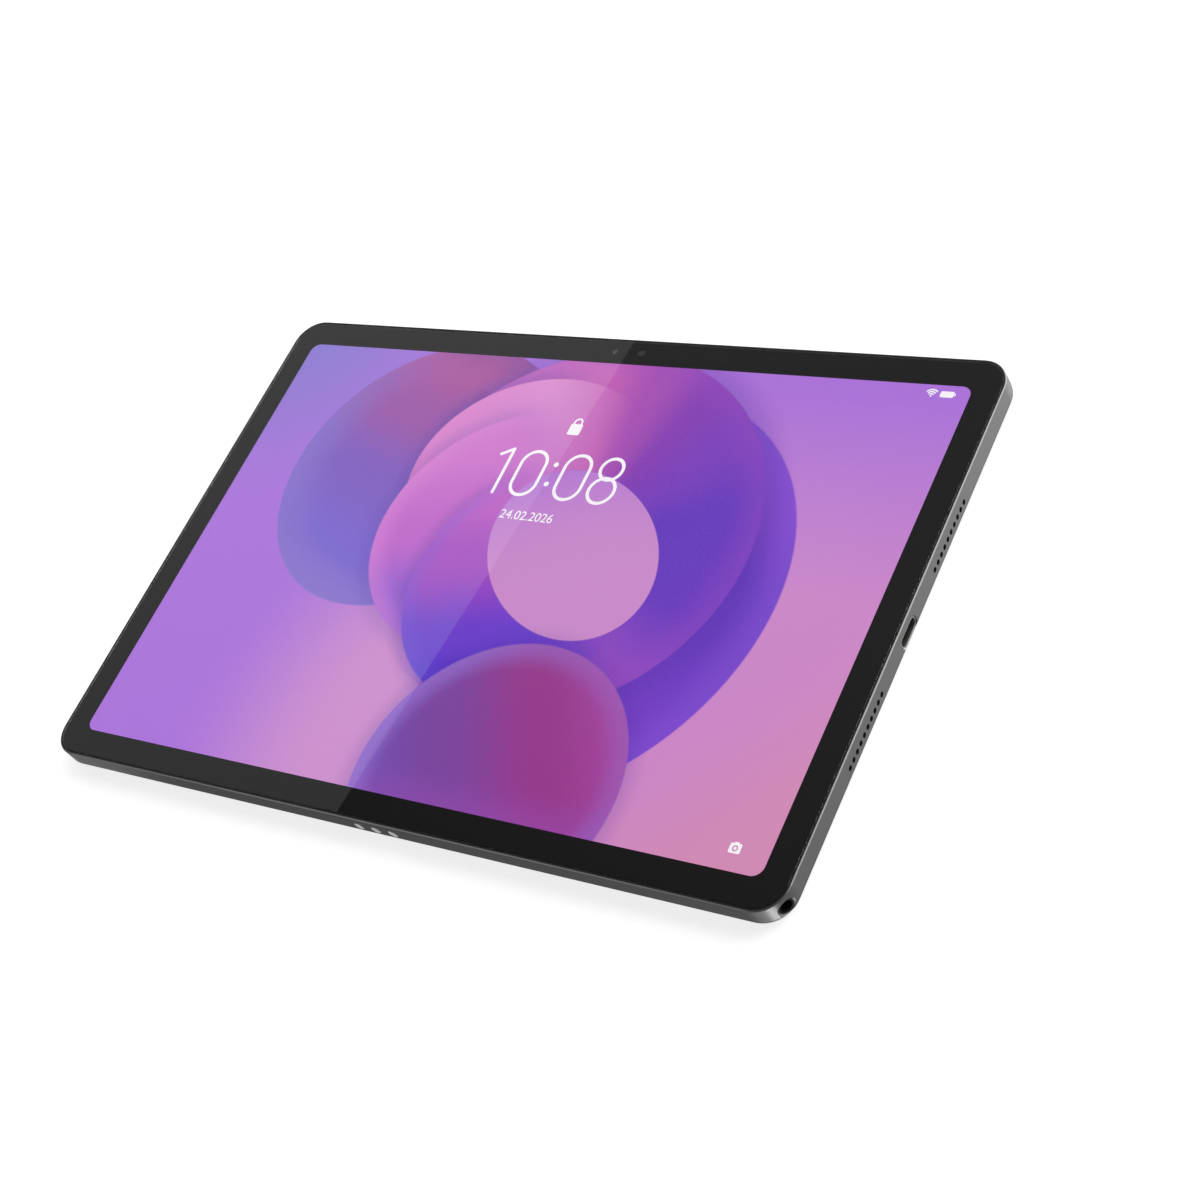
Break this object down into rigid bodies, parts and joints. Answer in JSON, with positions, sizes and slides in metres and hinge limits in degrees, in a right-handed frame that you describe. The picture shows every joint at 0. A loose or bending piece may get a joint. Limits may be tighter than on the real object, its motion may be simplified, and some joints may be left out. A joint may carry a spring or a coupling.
{
  "type": "tablet computer",
  "caption": "Thin tablet computer with an aluminium back, full-face glass, edge speakers, ports, pressing power and volume keys and a sliding card tray.",
  "frame": {"origin": "centre of the outline, on the plane of the camera ring, which is the rearmost surface", "axes": "+X along the long sides to the right as the screen is read, +Y towards the side with the front camera, +Z out of the screen"},
  "size_m": [0.2549, 0.1665, 0.0083],
  "materials": {
    "anodised_aluminium": "fine bead-blasted grey anodising",
    "polished_aluminium": "smooth grey anodising with a soft gloss",
    "ring_metal": "turned and anodised grey",
    "lens_glass": "coated black glass",
    "cover_glass": "polished clear glass",
    "black_print": "black print behind glass",
    "display": "lit display with a violet and pink picture",
    "white_film": "white optical films",
    "flex_film": "amber polyimide film",
    "black_foam": "black foam tape",
    "steel_sheet": "pressed steel sheet",
    "screw_steel": "blackened screw steel",
    "circuit_board": "dark green solder mask",
    "battery_pouch": "dark laminated pouch",
    "graphite": "dark grey graphite",
    "black_plastic": "moulded black",
    "speaker_mesh": "fine black dust mesh",
    "gilt_contact": "gilt spring contact",
    "bright_contact": "plated contact pad"
  },
  "bodies": {
    "tablet": {"accessory_contacts": "bright_contact", "backlight": "white_film", "backlight_led_bar": "flex_film", "battery_adhesive": "black_foam", "battery_cell_left": "battery_pouch", "battery_cell_right": "battery_pouch", "battery_flex": "flex_film", "battery_protection_board": "circuit_board", "board_screws": "screw_steel", "camera_island": "polished_aluminium", "camera_lens_cover": "lens_glass", "camera_ring": "ring_metal", "card_reader": "steel_sheet", "chips": "black_plastic", "contact_block": "black_plastic", "contact_flex": "flex_film", "cover_glass": "cover_glass", "display_adhesive": "black_foam", "display_board": "circuit_board", "display_flex": "flex_film", "display_panel": "display", "driver_flex": "flex_film", "front_camera_lens": "lens_glass", "front_camera_module": "black_plastic", "glass_border": "black_print", "glass_frame": "black_plastic", "graphite_sheet": "graphite", "headphone_flex": "flex_film", "headphone_jack": "black_plastic", "headphone_springs": "gilt_contact", "light_sensor": "black_plastic", "main_board": "circuit_board", "main_flex": "flex_film", "microphone": "steel_sheet", "mid_plate": "steel_sheet", "plate_screws": "screw_steel", "power_shield": "steel_sheet", "power_switch": "steel_sheet", "processor_shield": "steel_sheet", "radio_antennas": "black_plastic", "radio_shield": "steel_sheet", "rear_camera_flex": "flex_film", "rear_camera_gasket": "black_foam", "rear_camera_lens": "lens_glass", "rear_camera_module": "black_plastic", "rear_housing": "anodised_aluminium", "speaker_box_lower_left": "black_plastic", "speaker_box_lower_right": "black_plastic", "speaker_box_upper_left": "black_plastic", "speaker_box_upper_right": "black_plastic", "speaker_drivers": "steel_sheet", "speaker_meshes": "speaker_mesh", "usb_board": "circuit_board", "usb_c_shell": "steel_sheet", "usb_c_tongue": "black_plastic", "volume_switches": "steel_sheet"},
    "power_key": {"power_button": "anodised_aluminium"},
    "volume_key": {"volume_rocker": "anodised_aluminium"},
    "card_tray": {"card_tray": "anodised_aluminium"}
  },
  "joints": [
    {"name": "power_key_press", "type": "slide", "parent": "tablet", "child": "power_key", "axis": [1, 0, 0], "range_m": [0, 0.00025], "stiffness_N_per_m": 1500},
    {"name": "volume_key_rock", "type": "hinge", "parent": "tablet", "child": "volume_key", "pos_m": [-0.092, 0.082, 0.0046], "axis": [0, 0, 1], "range_deg": [-0.9, 0.9], "stiffness_Nm_per_rad": 0.5},
    {"name": "card_tray_slide", "type": "slide", "parent": "tablet", "child": "card_tray", "axis": [0, 1, 0], "range_m": [0, 0.015]}
  ]
}
